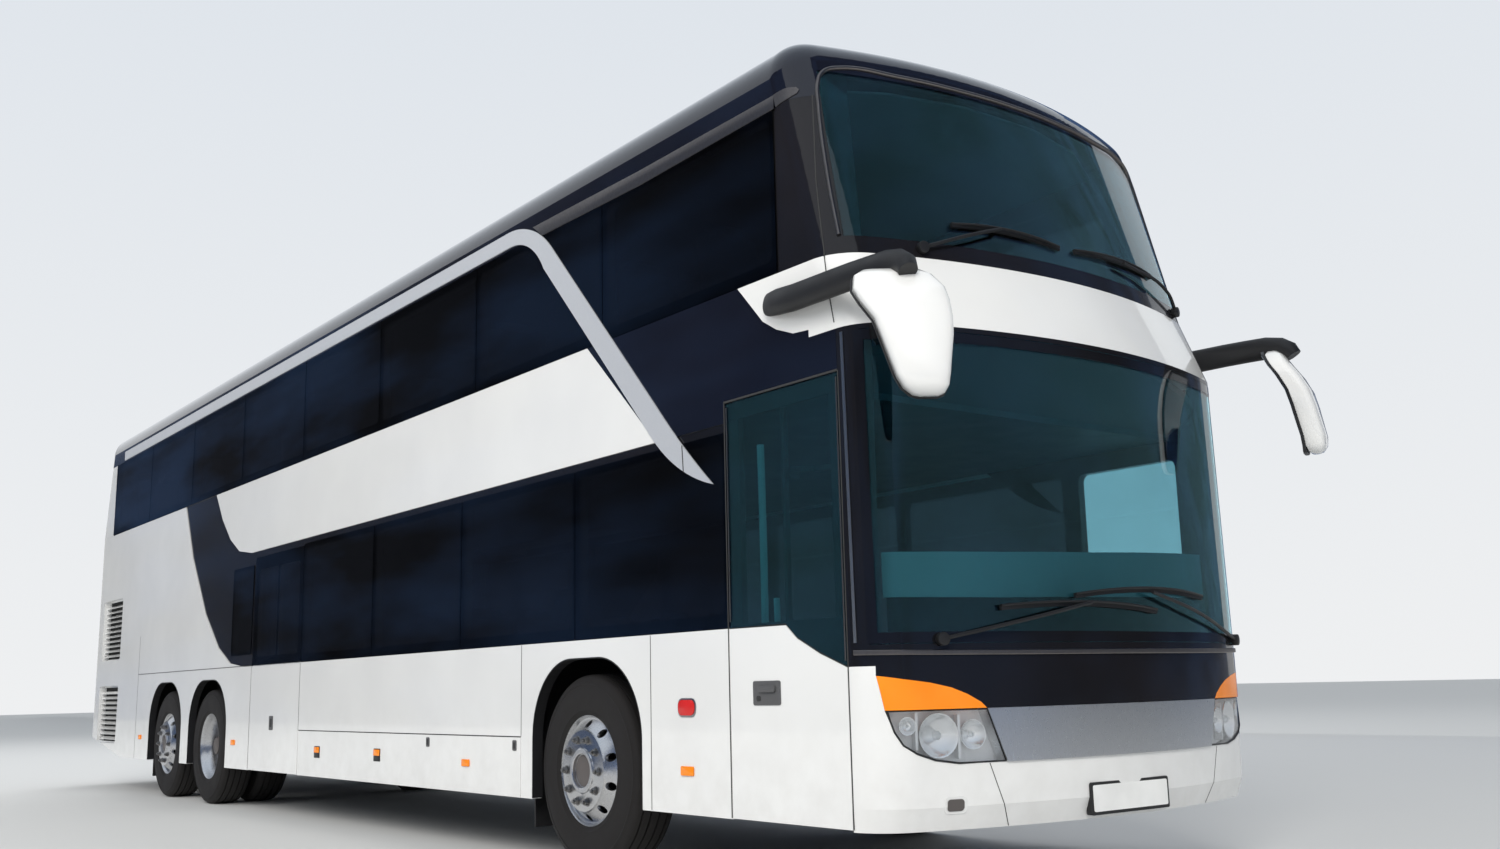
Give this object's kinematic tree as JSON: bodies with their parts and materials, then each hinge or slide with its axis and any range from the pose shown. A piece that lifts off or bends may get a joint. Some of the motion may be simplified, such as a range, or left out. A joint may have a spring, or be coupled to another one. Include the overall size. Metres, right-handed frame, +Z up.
{
  "type": "three-axle double-deck coach",
  "caption": "Double-deck touring coach with a steered front axle, twin drive wheels, a steered rear axle, swing-out doors, an engine lid and side flaps",
  "frame": {"origin": "Middle of the coach's length and width, mirrors included, on the road surface", "axes": "+X forward, +Y to the driver's left, +Z up"},
  "size_m": [14.218, 3.1122, 3.9999],
  "materials": {
    "roof_paint": "gloss",
    "white_paint": "gloss",
    "black_paint": "gloss",
    "side_glass": "tinted",
    "windscreen_glass": "clear",
    "bright_metal": "brushed",
    "chrome": "polished",
    "clear_lens": "clear",
    "amber_lens": "gloss",
    "red_lens": "gloss",
    "floor_cover": "matte",
    "trim": "matte",
    "seat_fabric": "woven",
    "chassis_steel": "matte",
    "tyre": "matte",
    "rim_alloy": "polished"
  },
  "bodies": {
    "coach": {"roof": "roof_paint", "side_panels": "white_paint", "louvres": "black_paint", "window_frames": "black_paint", "side_glass": "side_glass", "front_quarters": "black_paint", "bright_strips": "bright_metal", "front_band": "white_paint", "front_frames": "black_paint", "lower_windscreen": "windscreen_glass", "upper_windscreen": "windscreen_glass", "bumpers": "white_paint", "headlamps": "clear_lens", "front_indicators": "amber_lens", "grille_bar": "chrome", "tail_panels": "white_paint", "tail_lamps": "red_lens", "rear_window": "side_glass", "lower_floor": "floor_cover", "bulkhead": "trim", "upper_floor": "floor_cover", "stairs": "floor_cover", "seats": "seat_fabric", "dashboard": "trim", "steering_wheel": "trim", "wheel_housings": "chassis_steel", "chassis_rails": "chassis_steel", "engine_block": "chassis_steel", "axles": "chassis_steel", "mirror_arms": "black_paint", "mirror_shells": "white_paint", "mudflaps": "trim"},
    "front_left_knuckle": {"front_left_knuckle": "chassis_steel"},
    "front_left_wheel": {"front_left_tyre": "tyre", "front_left_rim": "rim_alloy"},
    "front_right_knuckle": {"front_right_knuckle": "chassis_steel"},
    "front_right_wheel": {"front_right_tyre": "tyre", "front_right_rim": "rim_alloy"},
    "tag_left_knuckle": {"tag_left_knuckle": "chassis_steel"},
    "tag_left_wheel": {"tag_left_tyre": "tyre", "tag_left_rim": "rim_alloy"},
    "tag_right_knuckle": {"tag_right_knuckle": "chassis_steel"},
    "tag_right_wheel": {"tag_right_tyre": "tyre", "tag_right_rim": "rim_alloy"},
    "drive_left_wheels": {"drive_left_tyres": "tyre", "drive_left_rims": "rim_alloy"},
    "drive_right_wheels": {"drive_right_tyres": "tyre", "drive_right_rims": "rim_alloy"},
    "front_door_arms": {"front_door_arms": "bright_metal"},
    "front_door": {"front_door": "white_paint", "front_door_glass": "side_glass"},
    "mid_door_arms": {"mid_door_arms": "bright_metal"},
    "mid_door": {"mid_door": "white_paint", "mid_door_glass": "side_glass"},
    "engine_lid": {"engine_lid": "white_paint"},
    "left_flap": {"left_flap": "white_paint"},
    "right_flap": {"right_flap": "white_paint"}
  },
  "joints": [
    {"name": "front_left_steer", "type": "hinge", "parent": "coach", "child": "front_left_knuckle", "pos_m": [4.171, 0.895, 0.51], "axis": [0, 0, 1], "range_deg": [-40, 40]},
    {"name": "front_left_spin", "type": "hinge", "parent": "front_left_knuckle", "child": "front_left_wheel", "pos_m": [4.171, 1.105, 0.51], "axis": [0, 1, 0], "continuous": true},
    {"name": "front_right_steer", "type": "hinge", "parent": "coach", "child": "front_right_knuckle", "pos_m": [4.171, -0.895, 0.51], "axis": [0, 0, 1], "range_deg": [-40, 40]},
    {"name": "front_right_spin", "type": "hinge", "parent": "front_right_knuckle", "child": "front_right_wheel", "pos_m": [4.171, -1.105, 0.51], "axis": [0, 1, 0], "continuous": true},
    {"name": "tag_left_steer", "type": "hinge", "parent": "coach", "child": "tag_left_knuckle", "pos_m": [-3.879, 0.895, 0.51], "axis": [0, 0, 1], "range_deg": [-12.1, 12.1]},
    {"name": "tag_left_spin", "type": "hinge", "parent": "tag_left_knuckle", "child": "tag_left_wheel", "pos_m": [-3.879, 1.105, 0.51], "axis": [0, 1, 0], "continuous": true},
    {"name": "tag_right_steer", "type": "hinge", "parent": "coach", "child": "tag_right_knuckle", "pos_m": [-3.879, -0.895, 0.51], "axis": [0, 0, 1], "range_deg": [-12.1, 12.1]},
    {"name": "tag_right_spin", "type": "hinge", "parent": "tag_right_knuckle", "child": "tag_right_wheel", "pos_m": [-3.879, -1.105, 0.51], "axis": [0, 1, 0], "continuous": true},
    {"name": "drive_left_spin", "type": "hinge", "parent": "coach", "child": "drive_left_wheels", "pos_m": [-2.529, 1.105, 0.51], "axis": [0, 1, 0], "continuous": true},
    {"name": "drive_right_spin", "type": "hinge", "parent": "coach", "child": "drive_right_wheels", "pos_m": [-2.529, -1.105, 0.51], "axis": [0, 1, 0], "continuous": true},
    {"name": "front_door_swing", "type": "hinge", "parent": "coach", "child": "front_door_arms", "pos_m": [6.291, -1.145, 1.2], "axis": [0, 0, 1], "range_deg": [0, 110]},
    {"name": "front_door_turn", "type": "hinge", "parent": "front_door_arms", "child": "front_door", "pos_m": [5.9405, -1.205, 1.2], "axis": [0, 0, 1], "range_deg": [-110, 0]},
    {"name": "mid_door_swing", "type": "hinge", "parent": "coach", "child": "mid_door_arms", "pos_m": [-1.239, -1.145, 1.2], "axis": [0, 0, -1], "range_deg": [0, 120]},
    {"name": "mid_door_turn", "type": "hinge", "parent": "mid_door_arms", "child": "mid_door", "pos_m": [-0.714, -1.205, 1.2], "axis": [0, 0, -1], "range_deg": [-120, 0]},
    {"name": "engine_lid_lift", "type": "hinge", "parent": "coach", "child": "engine_lid", "pos_m": [-7.109, 0, 1.5], "axis": [0, 1, 0], "range_deg": [0, 75]},
    {"name": "left_flap_lift", "type": "hinge", "parent": "coach", "child": "left_flap", "pos_m": [1.6885, 1.275, 0.675], "axis": [1, 0, 0], "range_deg": [0, 90]},
    {"name": "right_flap_lift", "type": "hinge", "parent": "coach", "child": "right_flap", "pos_m": [1.6885, -1.275, 0.675], "axis": [-1, 0, 0], "range_deg": [0, 90]}
  ],
  "couplings": [
    {"joint": "front_right_steer", "follows": "front_left_steer", "ratio": 1},
    {"joint": "tag_left_steer", "follows": "front_left_steer", "ratio": -0.3},
    {"joint": "tag_right_steer", "follows": "front_left_steer", "ratio": -0.3},
    {"joint": "front_door_turn", "follows": "front_door_swing", "ratio": -1},
    {"joint": "mid_door_turn", "follows": "mid_door_swing", "ratio": -1}
  ]
}
